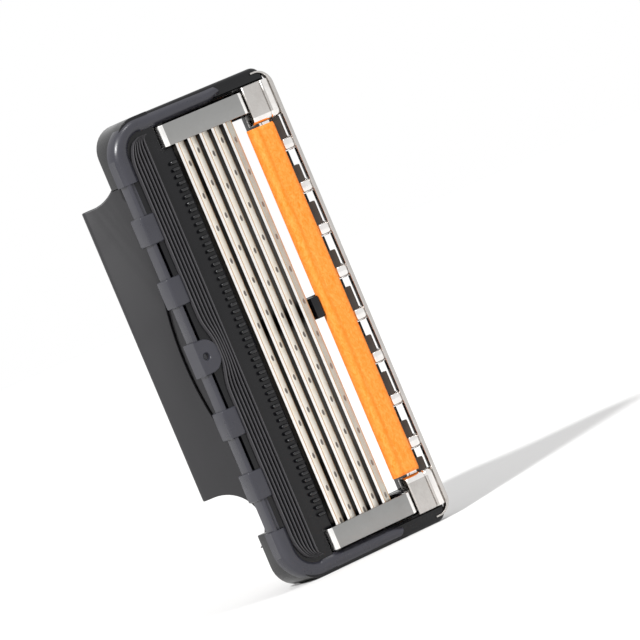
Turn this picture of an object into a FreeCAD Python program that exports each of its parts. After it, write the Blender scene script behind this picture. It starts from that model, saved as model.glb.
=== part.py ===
import FreeCAD, Part
import math
import os
import re
import Sketcher

# Five-blade razor cartridge. +X runs from guard to cap, -Y out of the shaving face and +Z along the
# blades. The origin is in the middle of the lower end face, so the cartridge stands on that face.

doc = FreeCAD.newDocument("razor_cartridge")
dims = doc.addObject("Spreadsheet::Sheet", "Dims")

SIZES = [
    # overall
    ("unit_length", 42.0),         # along the blades
    ("guard_edge", 8.6),           # origin to the outer face of the guard elastomer
    ("cap_edge", 8.65),            # origin to the outer face of the cap rail
    ("face_rise", 2.5),            # origin to the shaving plane
    ("back_rise", 2.1),            # origin to the back of the housing
    ("bite", 0.1),                 # depth by which two joined solids run into each other
    ("overrun", 1.0),              # length by which a cut runs past the surface it opens
    # housing
    ("housing_guard", 7.7),        # origin to the housing's guard side
    ("housing_cap", 8.0),          # origin to the housing's cap side
    ("front_drop", 0.3),           # housing front behind the shaving plane
    ("end_wall", 3.7),             # solid length of each end block
    ("guard_corner", 2.3),         # corner radius at the guard
    ("cap_corner", 1.3),           # corner radius at the cap
    ("guard_bar", 1.4),            # thickness of the guard bar
    ("well_guard", 2.85),          # origin to the guard side of the blade well
    ("well_cap", 4.55),            # origin to the cap side of the blade well
    ("well_depth", 3.7),           # depth of the blade pockets in the end blocks
    ("blade_end_gap", 0.2),        # pocket beyond each blade end
    ("cap_bar_start", 6.8),        # origin to the cap bar, which carries the trimmer
    ("rib_width", 1.9),            # centre rib along the blades
    ("rib_reach", 1.9),            # origin to the free end of the centre rib, towards the guard
    ("rib_gap", 0.15),             # centre rib behind a blade at the end of its travel
    ("post_width", 0.8),           # centre post beside the lubrication strip
    ("comb_width", 0.6),
    ("comb_gap", 0.35),            # comb to blade well
    ("comb_height", 0.2),
    ("comb_inset", 4.6),           # end face to the first tooth
    ("comb_pitch", 0.62),
    ("comb_tooth", 0.34),
    # guard elastomer
    ("rim_wall", 0.35),            # thin outer bar beside each window
    ("rim_depth", 2.3),            # shaving plane to the back of the rim
    ("rim_front", 0.05),           # rim front behind the shaving plane
    ("fin_zone", 2.1),             # width that the fins cover
    ("fin_pitch", 0.48),
    ("fin_width", 0.2),
    ("fin_proud", 0.25),           # fins above the housing front
    ("tongue_width", 1.2),
    ("tongue_reach", 3.4),         # origin to the tip of each tongue
    ("end_band", 0.15),             # bare housing beyond each tongue
    ("window_length", 3.2),
    ("pad_centre", 3.0),
    ("pad_side", 2.5),
    # blades
    ("blade_inset", 1.8),          # end face to each blade end
    ("blade_thick", 0.1),
    ("blade_width", 1.2),
    ("blade_tilt", 22.0),
    ("grind_width", 0.34),
    ("blade_pitch", 1.25),
    ("first_edge", 2.7),           # origin to the edge of the first blade, towards the guard
    ("support_thick", 0.13),
    ("support_start", 0.45),       # blade edge to the front of the support
    ("support_depth", 3.2),        # shaving plane to the foot of the support
    ("blade_travel", 0.3),
    ("finger_width", 0.6),
    ("finger_reach", 5.3),
    ("finger_thick", 0.35),
    ("finger_tip", 0.245),         # thickness at the tip
    ("finger_gap", 0.02),          # finger root behind the pocket floor
    # clips
    ("clip_width", 1.9),
    ("clip_inset", 1.6),           # end face to the clip
    ("clip_to_pin", 0.3),          # clip's guard leg to the pivot bore
    ("clip_cap", 5.05),            # origin to the clip's cap leg
    ("clip_thick", 0.25),
    ("clip_round", 0.5),
    ("clip_gap", 0.03),            # blade edge to clip, and clip to its slot
    ("clip_foot", 0.8),
    # cap
    ("cap_block_start", 5.25),
    ("cap_block_inset", 1.3),
    ("cap_block_length", 3.4),
    ("cap_block_rise", 0.1),       # end block front proud of the shaving plane
    ("cap_plate", 0.55),           # thickness of the frame under the strip
    ("cap_seat", 0.75),            # shaving plane to the strip's seat
    ("rail_width", 0.65),
    ("rail_inset", 0.35),
    ("rail_front", 0.2),
    ("rail_depth", 0.85),
    ("rail_round", 0.39),
    ("cap_block_round", 0.45),
    ("frame_start", 5.2),          # origin to the frame under the strip
    ("frame_tuck", 0.35),          # frame's rungs short of the rail's outer face
    ("strip_start", 4.54),
    ("strip_width", 2.65),
    ("strip_length", 32.2),
    ("strip_gap", 0.02),           # strip to centre post
    ("strip_crown", 0.12),
    ("strip_slope", 0.85),         # width of each sloping side of the strip's face
    ("strip_fall", 0.22),          # fall of each side
    ("strip_round", 0.25),
    ("rinse_width", 0.45),
    ("rinse_length", 3.05),
    ("rinse_pitch", 3.95),
    ("trimmer_width", 0.75),
    ("trimmer_length", 30.0),
    ("trimmer_thick", 0.9),
    ("trimmer_slope", 0.25),
    ("trimmer_inset", 0.35),        # carrier's ends to the trimmer blade
    ("trimmer_blade_thick", 0.1),
    # connector and pivot
    ("pivot_x", 5.0),              # origin to the pivot axis, towards the guard
    ("pivot_depth", 3.3),          # shaving plane to the pivot axis
    ("pin_radius", 0.85),
    ("pin_length", 1.5),
    ("pin_clearance", 0.05),
    ("pin_end_gap", 0.2),
    ("pin_root", 0.5),             # pin inside its arm
    ("arm_radius", 1.4),
    ("arm_gap", 0.3),              # connector arm to end block
    ("arm_width", 3.0),
    ("socket_turn", 55.0),         # socket axis from the face normal, towards the guard
    ("socket_gap", 4.2),           # between the front and back lips
    ("socket_deep", 4.2),
    ("socket_wall", 0.9),
    ("socket_width", 24.6),
    ("lip_x", 9.6),                # origin to the front lip
    ("lip_depth", 7.5),            # shaving plane to the front lip
    ("lip_half", 13.3),            # half width at the lips
    ("lip_shift", 1.8),            # middle of the lips above the cartridge's middle
    ("lip_straight", 1.0),         # straight length of each side behind the lips
    ("sweep_radius", 3.1),
    ("arch_radius", 32.0),
    ("arch_rise", 1.9),
]

for row, (alias, size) in enumerate(SIZES, start=1):
    dims.set(f"A{row}", alias)
    dims.set(f"B{row}", str(size))
    dims.setAlias(f"B{row}", alias)
doc.recompute()

ALIASES = {alias for alias, size in SIZES}


def cells(formula):
    """The formula with each alias named in full, as setExpression wants it."""
    return re.sub(r"[a-z_]+", lambda w: "Dims." + w[0] if w[0] in ALIASES else w[0], formula)


def value(formula):
    """The number that a formula gives with the present sizes."""
    found = dims.evalExpression(cells(formula))
    return float(getattr(found, "Value", found))


def bind(thing, prop, formula):
    thing.setExpression(prop, cells(formula))


def block(name, x, y, z):
    """A Part::Box between a low and a high formula on each axis."""
    box = doc.addObject("Part::Box", name)
    for size, axis, (low, high) in zip(("Length", "Width", "Height"), "xyz", (x, y, z)):
        bind(box, size, f"({high}) - ({low})")
        bind(box, f"Placement.Base.{axis}", low)
    return box


def rod(name, radius, x, y, z):
    """A Part::Cylinder along Z."""
    cylinder = doc.addObject("Part::Cylinder", name)
    bind(cylinder, "Radius", radius)
    bind(cylinder, "Height", f"({z[1]}) - ({z[0]})")
    for axis, place in zip("xyz", (x, y, z[0])):
        bind(cylinder, f"Placement.Base.{axis}", place)
    return cylinder


def fuse(name, pieces):
    joined = doc.addObject("Part::MultiFuse", name)
    joined.Shapes = pieces
    joined.Refine = True
    return joined


def cut(name, base, tools):
    """Base less all the tools."""
    result = doc.addObject("Part::Cut", name)
    result.Base = base
    result.Tool = fuse(name + "_tools", tools) if len(tools) > 1 else tools[0]
    result.Refine = True
    return result


def rounded(name, base, axis, rounds):
    """Fillets on the edges that run along an axis; rounds pairs a test on an edge's middle with a radius."""
    doc.recompute()
    picked = []
    for number, edge in enumerate(base.Shape.Edges, start=1):
        if not isinstance(edge.Curve, Part.Line) or abs(edge.Curve.Direction.dot(axis)) < 0.999:
            continue
        middle = edge.CenterOfMass
        for test, radius in rounds:
            if test(middle):
                picked.append((number, value(radius), value(radius)))
                break
    result = doc.addObject("Part::Fillet", name)
    result.Base = base
    result.Edges = picked
    return result


def prism(name, points, low, high):
    """A PartDesign body: a closed outline in XY, each corner bound to the sheet, padded from low to high."""
    body = doc.addObject("PartDesign::Body", name)
    sketch = body.newObject("Sketcher::SketchObject", name + "_outline")
    plane = next(f for f in body.Origin.OriginFeatures if f.Role == "XY_Plane")
    sketch.AttachmentSupport = [(plane, "")]
    sketch.MapMode = "FlatFace"
    bind(sketch, "AttachmentOffset.Base.z", low)
    corners = [FreeCAD.Vector(value(x), value(y), 0) for x, y in points]
    count = len(corners)
    for i in range(count):
        sketch.addGeometry(Part.LineSegment(corners[i], corners[(i + 1) % count]), False)
    for i in range(count):
        sketch.addConstraint(Sketcher.Constraint("Coincident", i, 2, (i + 1) % count, 1))
    for i, (x, y) in enumerate(points):
        for kind, formula in (("DistanceX", x), ("DistanceY", y)):
            number = sketch.addConstraint(Sketcher.Constraint(kind, -1, 1, i, 1, value(formula)))
            bind(sketch, f"Constraints[{number}]", formula)
    pad = body.newObject("PartDesign::Pad", name + "_pad")
    pad.Profile = sketch
    bind(pad, "Length", f"({high}) - ({low})")
    doc.recompute()
    return body


def round_corners(body, radius, spots):
    """A PartDesign fillet on the Z edges that stand nearest to the given XY formulas."""
    tip = body.Tip
    upright = [
        (number, edge) for number, edge in enumerate(tip.Shape.Edges, start=1)
        if isinstance(edge.Curve, Part.Line) and abs(edge.Curve.Direction.z) > 0.999
    ]
    names = []
    for x, y in spots:
        spot = (value(x), value(y))
        nearest = min(upright, key=lambda e: math.dist(spot, (e[1].CenterOfMass.x, e[1].CenterOfMass.y)))
        names.append(f"Edge{nearest[0]}")
    fillet = body.newObject("PartDesign::Fillet", body.Name + "_round")
    fillet.Base = (tip, names)
    bind(fillet, "Radius", radius)
    doc.recompute()
    return body


# places that several pieces share
SHAVE = "-face_rise"
BACK = "back_rise"
FRONT = "-face_rise + front_drop"
TOP = "unit_length"
MIDDLE = "unit_length / 2"
LIP_MIDDLE = "unit_length / 2 + lip_shift"
BLADE_LOW = "blade_inset"
BLADE_HIGH = "unit_length - blade_inset"
COMB_CAP = "-well_guard - comb_gap"
COMB_GUARD = "-well_guard - comb_gap - comb_width"
PIVOT_Y = "-face_rise + pivot_depth"
CLIP_GUARD = "-pivot_x + pin_radius + pin_clearance + clip_to_pin"
RINSE_START = "strip_start + strip_width + bite"
RINSE_COUNT = 9
FIN_COUNT = 5
BLADE_COUNT = 5

parts = {}


# ---- housing: end blocks, guard bar, comb ledge, ribs, rinse openings --------------------------------
def housing():
    outline = rounded(
        "housing_outline",
        block("housing_block", ("-housing_guard", "housing_cap"), (FRONT, BACK), ("0", TOP)),
        FreeCAD.Vector(0, 1, 0),
        [(lambda m: m.x < 0, "guard_corner"), (lambda m: m.x > 0, "cap_corner")],
    )
    inside = ("end_wall", "unit_length - end_wall")
    tools = [
        block(
            "blade_well", ("-well_guard", "well_cap"), ("-face_rise - overrun", "back_rise + overrun"),
            inside,
        ),
        block(
            "blade_pocket", ("-well_guard", "well_cap"), ("-face_rise - overrun", "-face_rise + well_depth"),
            (f"{BLADE_LOW} - blade_end_gap", f"{BLADE_HIGH} + blade_end_gap"),
        ),
        block(
            "guard_recess", ("-housing_guard - overrun", "-well_guard + bite"),
            ("-face_rise + front_drop + guard_bar", "back_rise + overrun"), inside,
        ),
        block(
            "cap_seat_pocket", ("well_cap - bite", "housing_cap + overrun"),
            ("-face_rise - overrun", "-face_rise + cap_seat + cap_plate"),
            ("cap_block_inset", "unit_length - cap_block_inset"),
        ),
    ]
    tools.append(block(
        "cap_undercut", ("well_cap - bite", "cap_bar_start"),
        ("-face_rise + cap_seat", "back_rise + overrun"), inside,
    ))
    for end, low in (("lower", "clip_inset"), ("upper", "unit_length - clip_inset - clip_width")):
        span = (f"{low} - clip_gap", f"{low} + clip_width + clip_gap")
        through = ("-face_rise - overrun", "back_rise + overrun")
        tools += [
            block(
                f"guard_slot_{end}", (f"{CLIP_GUARD} - clip_gap", f"{CLIP_GUARD} + clip_thick + clip_gap"),
                through, span,
            ),
            block(
                f"cap_slot_{end}", ("clip_cap - clip_thick - clip_gap", "clip_cap + clip_gap"), through, span,
            ),
        ]
    for end, z in (
        ("lower", ("end_wall - pin_length - pin_end_gap", "end_wall + overrun")),
        ("upper", ("unit_length - end_wall - overrun", "unit_length - end_wall + pin_length + pin_end_gap")),
    ):
        tools.append(rod(f"pivot_bore_{end}", "pin_radius + pin_clearance", "-pivot_x", PIVOT_Y, z))
    for i in range(RINSE_COUNT):
        start = f"unit_length / 2 + ({i - (RINSE_COUNT - 1) / 2}) * rinse_pitch - rinse_length / 2"
        tools.append(block(
            f"rinse_{i}", (RINSE_START, f"{RINSE_START} + rinse_width"),
            ("-face_rise", "back_rise + overrun"), (start, f"{start} + rinse_length"),
        ))
    shell = cut("housing_shell", outline, tools)
    rib = ("unit_length / 2 - rib_width / 2", "unit_length / 2 + rib_width / 2")
    pieces = [
        shell,
        block(
            "centre_rib", ("-rib_reach", "cap_bar_start + bite"),
            ("-face_rise + support_depth + blade_travel + rib_gap", BACK), rib,
        ),
        block("centre_post", ("strip_start - post_width", "strip_start - strip_gap"), (FRONT, BACK), rib),
        block("guard_post", (COMB_CAP, "-well_guard + bite"), (FRONT, f"{FRONT} + guard_bar"), rib),
    ]
    teeth = int((value("unit_length") - 2 * value("comb_inset")) / value("comb_pitch")) + 1
    for i in range(teeth):
        start = f"unit_length / 2 + ({i - (teeth - 1) / 2}) * comb_pitch - comb_tooth / 2"
        pieces.append(block(
            f"comb_tooth_{i}", (COMB_GUARD, COMB_CAP), (f"{FRONT} - comb_height", f"{FRONT} + bite"),
            (start, f"{start} + comb_tooth"),
        ))
    parts["housing"] = fuse("housing", pieces)


# ---- guard elastomer: rim, windows, fins and the tongue along each end -------------------------------
def guard_elastomer():
    z_low, z_high = "end_band", "unit_length - end_band"
    skin = rounded(
        "rim_skin",
        block(
            "rim_block", ("-guard_edge", "tongue_reach"),
            ("-face_rise + rim_front", "-face_rise + rim_depth"), (z_low, z_high),
        ),
        FreeCAD.Vector(0, 1, 0),
        [(lambda m: m.x < 0, "guard_corner + guard_edge - housing_guard")],
    )
    core = rounded(
        "rim_core",
        block(
            "rim_core_block", ("-housing_guard", "tongue_reach + overrun"), (FRONT, "back_rise + overrun"),
            ("0", TOP),
        ),
        FreeCAD.Vector(0, 1, 0),
        [(lambda m: m.x < 0, "guard_corner")],
    )
    fins_to = "-housing_guard + fin_zone"
    field = block(
        "rim_field", (fins_to, "tongue_reach + overrun"), ("-face_rise - overrun", FRONT),
        ("end_band + tongue_width", "unit_length - end_band - tongue_width"),
    )
    trench = block(
        "fin_trench", ("-housing_guard", "-housing_guard + fin_zone + bite"), ("-face_rise - overrun", FRONT),
        ("end_wall", "unit_length - end_wall"),
    )
    tools = [core, field, trench]
    window_at = (
        "unit_length / 2"
        " + {side} * (pad_centre / 2 + {step} * (window_length + pad_side) + window_length / 2)"
    )
    for side in (-1, 1):
        for step in (0, 1):
            middle = window_at.format(side=side, step=step)
            tools.append(block(
                f"window_{side + 1}_{step}", ("-guard_edge + rim_wall", "-housing_guard"),
                ("-face_rise - overrun", "back_rise + overrun"),
                (f"{middle} - window_length / 2", f"{middle} + window_length / 2"),
            ))
    rim = cut("rim", skin, tools)
    fins = [
        block(
            f"fin_{i}",
            (f"-housing_guard + {i} * fin_pitch", f"-housing_guard + {i} * fin_pitch + fin_width"),
            (f"{FRONT} - fin_proud", FRONT), ("end_wall - bite / 2", "unit_length - end_wall + bite / 2"),
        )
        for i in range(FIN_COUNT)
    ]
    parts["guard_elastomer"] = fuse("guard_elastomer", [rim] + fins)


# ---- blades: a ground strip on a bent support, and the sprung fingers under it -----------------------
ALONG = ("cos(blade_tilt * 1deg)", "sin(blade_tilt * 1deg)")
ACROSS = ("-sin(blade_tilt * 1deg)", "cos(blade_tilt * 1deg)")


def on_blade(index, along, across):
    """A point by its distance from a blade's edge along the blade, and across it away from the face."""
    edge = f"-first_edge + {index} * blade_pitch"
    return (
        f"{edge} + ({along}) * {ALONG[0]} + ({across}) * ({ACROSS[0]})",
        f"-face_rise + ({along}) * {ALONG[1]} + ({across}) * {ACROSS[1]}",
    )


def blade(index):
    half = "blade_thick / 2"
    outline = [
        on_blade(index, "0", "0"),
        on_blade(index, "grind_width", f"-{half}"),
        on_blade(index, "blade_width", f"-{half}"),
        on_blade(index, "blade_width", half),
        on_blade(index, "grind_width", half),
    ]
    parts[f"blade_{index + 1}"] = prism(f"blade_{index + 1}", outline, BLADE_LOW, BLADE_HIGH)


def blade_support(index):
    top, under = "blade_thick / 2", "blade_thick / 2 + support_thick"
    leg_x = on_blade(index, "blade_width", top)[0]
    inner_x = f"{leg_x} - support_thick"
    foot = "-face_rise + support_depth"
    inner_along = f"blade_width - support_thick / {ALONG[0]} + support_thick * {ALONG[1]} / {ALONG[0]}"
    outline = [
        on_blade(index, "support_start", top),
        on_blade(index, "blade_width", top),
        (leg_x, foot),
        (inner_x, foot),
        on_blade(index, inner_along, under),
        on_blade(index, "support_start", under),
    ]
    parts[f"blade_support_{index + 1}"] = prism(
        f"blade_support_{index + 1}", outline, BLADE_LOW, BLADE_HIGH
    )


def spring_fingers(index):
    leg_x = f"{on_blade(index, 'blade_width', 'blade_thick / 2')[0]} - support_thick / 2"
    sides = [f"{leg_x} - finger_width / 2", f"{leg_x} + finger_width / 2"]
    both = []
    for end, root, tip in (
        (0, "end_wall", "end_wall + finger_reach"),
        (1, "unit_length - end_wall", "unit_length - end_wall - finger_reach"),
    ):
        # depth below the shaving plane at the root and the tip
        root_y = value("-face_rise + well_depth + finger_gap")
        tip_y = value("-face_rise + support_depth")
        corners = [
            (root_y, value(root)), (root_y + value("finger_thick"), value(root)),
            (tip_y + value("finger_tip"), value(tip)), (tip_y, value(tip)),
        ]
        wire = Part.makePolygon([FreeCAD.Vector(value(sides[0]), y, z) for y, z in corners + corners[:1]])
        both.append(Part.Face(wire).extrude(FreeCAD.Vector(value("finger_width"), 0, 0)))
    fingers = doc.addObject("Part::Feature", f"spring_fingers_{index + 1}")
    fingers.Shape = Part.makeCompound(both)
    parts[f"spring_fingers_{index + 1}"] = fingers


# ---- clips: one folded aluminium band over each end of the blades ------------------------------------
def clip(name, low):
    outer = "-face_rise - clip_gap - clip_thick"
    under = "-face_rise - clip_gap"
    foot = "back_rise + clip_gap"
    heel = "back_rise + clip_gap + clip_thick"
    guard, cap = CLIP_GUARD, "clip_cap"
    outline = [
        (guard, heel), (guard, outer), (cap, outer), (cap, heel),
        (f"{cap} - clip_foot", heel), (f"{cap} - clip_foot", foot), (f"{cap} - clip_thick", foot),
        (f"{cap} - clip_thick", under), (f"{guard} + clip_thick", under), (f"{guard} + clip_thick", foot),
        (f"{guard} + clip_foot", foot), (f"{guard} + clip_foot", heel),
    ]
    body = prism(name, outline, low, f"{low} + clip_width")
    round_corners(body, "clip_round", [(guard, outer), (cap, outer)])
    parts[name] = body


# ---- cap: silver frame with its rail and end blocks, lubrication strip, trimmer ----------------------
def cap_frame():
    seat = "-face_rise + cap_seat"
    under = "-face_rise + cap_seat + cap_plate"
    low, high = "cap_block_inset", "unit_length - cap_block_inset"
    plate = block(
        "cap_plate_block", ("frame_start", "cap_edge - frame_tuck"), (seat, under),
        (low, high),
    )
    tools = []
    for i in range(RINSE_COUNT):
        start = f"unit_length / 2 + ({i - (RINSE_COUNT - 1) / 2}) * rinse_pitch - rinse_length / 2"
        tools.append(block(
            f"cap_rinse_{i}", (RINSE_START, "cap_edge"),
            ("-face_rise - overrun", "back_rise"), (start, f"{start} + rinse_length"),
        ))
    ladder = cut("cap_ladder", plate, tools)
    rail = rounded(
        "cap_rail",
        block(
            "cap_rail_block", ("cap_edge - rail_width", "cap_edge"),
            ("-face_rise + rail_front", "-face_rise + rail_depth"),
            ("rail_inset", "unit_length - rail_inset"),
        ),
        FreeCAD.Vector(0, 0, 1),
        [(
            lambda m: m.x > value("cap_edge - bite") and m.y < value("-face_rise + rail_depth / 2"),
            "rail_round",
        )],
    )
    pieces = [ladder, rail]
    for end, z in (
        ("lower", (low, f"{low} + cap_block_length")), ("upper", (f"{high} - cap_block_length", high)),
    ):
        pieces.append(rounded(
            f"cap_block_{end}",
            block(
                f"cap_block_{end}_raw", ("cap_block_start", "cap_edge - rail_width + bite"),
                ("-face_rise - cap_block_rise", f"{seat} + bite"), z,
            ),
            FreeCAD.Vector(0, 0, 1),
            [(lambda m: m.x > value("cap_edge - 1") and m.y < value("-face_rise + bite"), "cap_block_round")],
        ))
    parts["cap_frame"] = fuse("cap_frame", pieces)


def lubrication_strip():
    left, right = "strip_start", "strip_start + strip_width"
    top, seat = "-face_rise - strip_crown", "-face_rise + cap_seat"
    outline = [
        (left, seat), (left, f"{top} + strip_fall"), (f"{left} + strip_slope", top),
        (f"{right} - strip_slope", top), (right, f"{top} + strip_fall"), (right, seat),
    ]
    body = prism(
        "lubrication_strip", outline,
        "unit_length / 2 - strip_length / 2", "unit_length / 2 + strip_length / 2",
    )
    round_corners(body, "strip_round", [outline[1], outline[4]])
    parts["lubrication_strip"] = body


def trimmer():
    low, high = "unit_length / 2 - trimmer_length / 2", "unit_length / 2 + trimmer_length / 2"
    right = "housing_cap"
    face = "back_rise + trimmer_thick"
    outline = [
        (f"{right} - trimmer_width", BACK), (right, BACK), (right, f"{face} - trimmer_slope"),
        (f"{right} - trimmer_slope", face), (f"{right} - trimmer_width + trimmer_slope", face),
    ]
    parts["trimmer_carrier"] = prism("trimmer_carrier", outline, low, high)
    blade_face = f"{face} + trimmer_blade_thick"
    strip = [
        (f"{right} - trimmer_width + trimmer_inset", face), (f"{right} - trimmer_slope", face),
        (f"{right} + bite", f"{face} + trimmer_blade_thick / 2"), (f"{right} - trimmer_slope", blade_face),
        (f"{right} - trimmer_width + trimmer_inset", blade_face),
    ]
    parts["trimmer_blade"] = prism(
        "trimmer_blade", strip, f"{low} + trimmer_inset", f"{high} - trimmer_inset"
    )


# ---- connector: slanted socket for the handle, two arms and two pivot pins ---------------------------
OUT = ("-sin(socket_turn * 1deg)", "cos(socket_turn * 1deg)")
OVER = ("cos(socket_turn * 1deg)", "sin(socket_turn * 1deg)")


def on_socket(out, over):
    """A point by its distance out of the mouth and its distance from the front lip towards the back lip."""
    return (
        f"-lip_x + ({out}) * ({OUT[0]}) + ({over}) * {OVER[0]}",
        f"-face_rise + lip_depth + ({out}) * {OUT[1]} + ({over}) * {OVER[1]}",
    )


def across_socket(tool, out, over, z):
    """Turns a Part primitive's Z axis to run from the front lip to the back lip, at a bound place."""
    over_line = FreeCAD.Vector(value(OVER[0]), value(OVER[1]), 0)
    out_line = FreeCAD.Vector(value(OUT[0]), value(OUT[1]), 0)
    turn = FreeCAD.Rotation(out_line, over_line.cross(out_line), over_line, "ZXY")
    tool.Placement = FreeCAD.Placement(FreeCAD.Vector(), turn)
    x, y = on_socket(out, over)
    for axis, place in zip("xyz", (x, y, z)):
        bind(tool, f"Placement.Base.{axis}", place)


def connector():
    low, high = "end_wall + arm_gap", "unit_length - end_wall - arm_gap"
    far = "socket_gap + 2 * socket_wall"
    root = "socket_deep + socket_wall"
    outline = [
        on_socket("0", "0"),
        on_socket(f"-({root})", "0"),
        ("-pivot_x + arm_radius * 0.2", f"{PIVOT_Y} + arm_radius * 0.9"),
        ("-pivot_x + arm_radius", PIVOT_Y),
        ("-pivot_x + arm_radius * 1.07", f"{PIVOT_Y} + arm_radius * 2.3"),
        on_socket(f"-({root})", f"({far}) * 0.97"),
        on_socket("0", far),
    ]
    slab = prism("connector_slab", outline, low, high)
    round_corners(slab, "socket_wall * 0.45", [outline[0], outline[6]])
    hub = rod("connector_hub", "arm_radius", "-pivot_x", PIVOT_Y, (low, high))
    solid = fuse("connector_solid", [slab, hub])
    hollow = prism(
        "socket_hollow",
        [
            on_socket("2", "socket_wall"), on_socket("-socket_deep", "socket_wall"),
            on_socket("-socket_deep", "socket_wall + socket_gap"), on_socket("2", "socket_wall + socket_gap"),
        ],
        f"{LIP_MIDDLE} - socket_width / 2", f"{LIP_MIDDLE} + socket_width / 2",
    )
    between_arms = block(
        "between_arms", ("-pivot_x - arm_radius - 1", "-pivot_x + arm_radius + 0.6"),
        (f"{PIVOT_Y} - arm_radius - 1", f"{PIVOT_Y} + arm_radius * 1.05"),
        (f"{low} + arm_width", f"{high} - arm_width"),
    )
    # each side is straight along the lips, then sweeps out to its arm on a quarter round
    tools = [hollow, between_arms]
    for end, side in (("lower", -1), ("upper", 1)):
        sweep = rod(f"sweep_{end}", "sweep_radius", "0", "0", ("0", "3 * socket_gap"))
        across_socket(
            sweep, "-lip_straight", "-socket_gap", f"{LIP_MIDDLE} + {side} * (lip_half + sweep_radius)"
        )
        beside = doc.addObject("Part::Box", f"beside_lip_{end}")
        bind(beside, "Length", "3 * socket_gap")
        bind(beside, "Width", "socket_gap + lip_straight")
        bind(beside, "Height", "2 * sweep_radius")
        x, y = on_socket("-lip_straight", "-socket_gap")
        beside.Placement = FreeCAD.Placement(
            FreeCAD.Vector(), FreeCAD.Rotation(FreeCAD.Vector(0, 0, 1), value("socket_turn"))
        )
        bind(beside, "Placement.Base.x", x)
        bind(beside, "Placement.Base.y", y)
        bind(
            beside, "Placement.Base.z",
            f"{LIP_MIDDLE} + {side} * (lip_half + sweep_radius) - sweep_radius",
        )
        tools += [sweep, beside]
    arch = rod("guard_arch", "arch_radius", "0", "0", ("0", "arch_rise * 2"))
    across_socket(arch, "-socket_deep - socket_wall - arch_radius + arch_rise", "-arch_rise", MIDDLE)
    bind(arch, "Height", "arch_rise + socket_wall * 0.6")
    tools.append(arch)
    hull = cut("connector_hull", solid, tools)
    pins = [
        rod("pin_lower", "pin_radius", "-pivot_x", PIVOT_Y, (f"{low} - pin_length", f"{low} + pin_root")),
        rod("pin_upper", "pin_radius", "-pivot_x", PIVOT_Y, (f"{high} - pin_root", f"{high} + pin_length")),
    ]
    parts["connector"] = fuse("connector", [hull] + pins)


housing()
guard_elastomer()
for number in range(BLADE_COUNT):
    blade(number)
    blade_support(number)
    spring_fingers(number)
clip("clip_lower", "clip_inset")
clip("clip_upper", "unit_length - clip_inset - clip_width")
cap_frame()
lubrication_strip()
trimmer()
connector()
doc.recompute()

for thing in doc.Objects:
    if "Invalid" in thing.State or "Error" in thing.State:
        raise RuntimeError(f"{thing.Name} failed: {thing.State}")
os.makedirs("parts", exist_ok=True)
for name, thing in parts.items():
    thing.Label = name
    shape = thing.Shape
    if shape.isNull() or not shape.isValid() or not shape.Solids:
        raise RuntimeError(f"{name} has no valid solid")
    shape.exportStep(f"parts/{name}.step")
    box = shape.BoundBox
    print(f"{name:20} {len(shape.Solids)} solid {shape.Volume:9.2f} mm3",
          f"x {box.XMin:.2f} {box.XMax:.2f} y {box.YMin:.2f} {box.YMax:.2f} z {box.ZMin:.2f} {box.ZMax:.2f}")
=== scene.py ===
import math

import bmesh
import bpy
import numpy as np
from mathutils import Matrix, Vector


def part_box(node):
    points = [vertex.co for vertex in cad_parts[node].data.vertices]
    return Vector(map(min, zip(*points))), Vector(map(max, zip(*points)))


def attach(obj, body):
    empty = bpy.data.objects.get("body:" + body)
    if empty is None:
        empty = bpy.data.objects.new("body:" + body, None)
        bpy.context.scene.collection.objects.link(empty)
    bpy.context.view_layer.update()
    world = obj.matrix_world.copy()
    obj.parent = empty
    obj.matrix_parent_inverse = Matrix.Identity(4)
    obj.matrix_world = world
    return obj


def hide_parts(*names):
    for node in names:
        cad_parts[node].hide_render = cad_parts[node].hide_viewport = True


# A five-blade razor cartridge with the connector that takes its handle. Sizes are in millimetres and
# turned to metres as a mesh is made. +X runs from guard to cap, -Y out of the shaving face, +Z along
# the blades.
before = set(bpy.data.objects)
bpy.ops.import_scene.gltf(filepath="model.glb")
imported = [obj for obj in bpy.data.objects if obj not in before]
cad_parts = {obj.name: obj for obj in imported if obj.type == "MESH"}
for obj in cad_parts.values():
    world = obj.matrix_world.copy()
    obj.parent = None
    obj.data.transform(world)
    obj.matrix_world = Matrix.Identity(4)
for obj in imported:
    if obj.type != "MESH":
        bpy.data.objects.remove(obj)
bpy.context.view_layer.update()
MM = 0.001


# ---- camera and table -------------------------------------------------------------------------------
# The cartridge stands on its lower end on a plain white table. The camera looks at the shaving face
# from the guard side, rolled so that the cartridge leans to the left in its view.
VIEW_AZIMUTH = math.radians(-30)
VIEW_ELEVATION = math.radians(2.0)
VIEW_ROLL = math.radians(22.87)
VIEW_TARGET = Vector((3.61, -2.5, 19.93)) * MM
VIEW_DISTANCE = 0.5
VIEW_WIDTH = 54.4 * MM

towards = Vector((
    math.sin(VIEW_AZIMUTH) * math.cos(VIEW_ELEVATION),
    -math.cos(VIEW_AZIMUTH) * math.cos(VIEW_ELEVATION),
    math.sin(VIEW_ELEVATION),
))
level_right = Vector((0, 0, 1)).cross(towards).normalized()
level_up = towards.cross(level_right)
view_up = math.cos(VIEW_ROLL) * level_up + math.sin(VIEW_ROLL) * level_right
view_right = math.cos(VIEW_ROLL) * level_right - math.sin(VIEW_ROLL) * level_up
lens_data = bpy.data.cameras.new("camera")
lens_data.lens = lens_data.sensor_width * VIEW_DISTANCE / VIEW_WIDTH
lens_data.clip_start = 0.01
camera = bpy.data.objects.new("camera", lens_data)
bpy.context.scene.collection.objects.link(camera)
camera.matrix_world = Matrix.Translation(VIEW_TARGET + towards * VIEW_DISTANCE) @ Matrix(
    (view_right, view_up, towards)
).transposed().to_4x4()
bpy.context.scene.camera = camera
bpy.context.scene.view_settings.view_transform = "Standard"


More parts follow.
